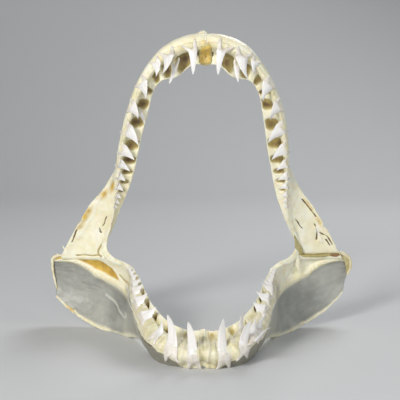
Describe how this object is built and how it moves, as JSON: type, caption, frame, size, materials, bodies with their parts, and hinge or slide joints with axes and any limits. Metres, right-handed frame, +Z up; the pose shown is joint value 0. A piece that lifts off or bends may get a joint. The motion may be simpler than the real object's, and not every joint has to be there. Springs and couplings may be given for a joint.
{
  "type": "shark jaw",
  "caption": "Dried jaws of a large shortfin mako set wide open, with long slender teeth, resting on the chin and on the lower edges of the lower jaw's wings.",
  "frame": {"origin": "middle of the bounding box in plan, at the floor the jaws rest on", "axes": "+X towards the animal's left, -Y the way the open mouth faces, +Z up"},
  "size_m": [0.3321, 0.1932, 0.3195],
  "materials": {
    "cartilage": "dried cartilage, ivory to cream, satin",
    "teeth": "enamel, white, glossy",
    "ligament": "dried ligament and skin, amber brown"
  },
  "bodies": {
    "root": {"upper_jaw_right": "cartilage", "upper_jaw_left": "cartilage", "lower_jaw_right": "cartilage", "lower_jaw_left": "cartilage", "jaw_ligament_right": "ligament", "jaw_ligament_left": "ligament"}
  },
  "joints": []
}
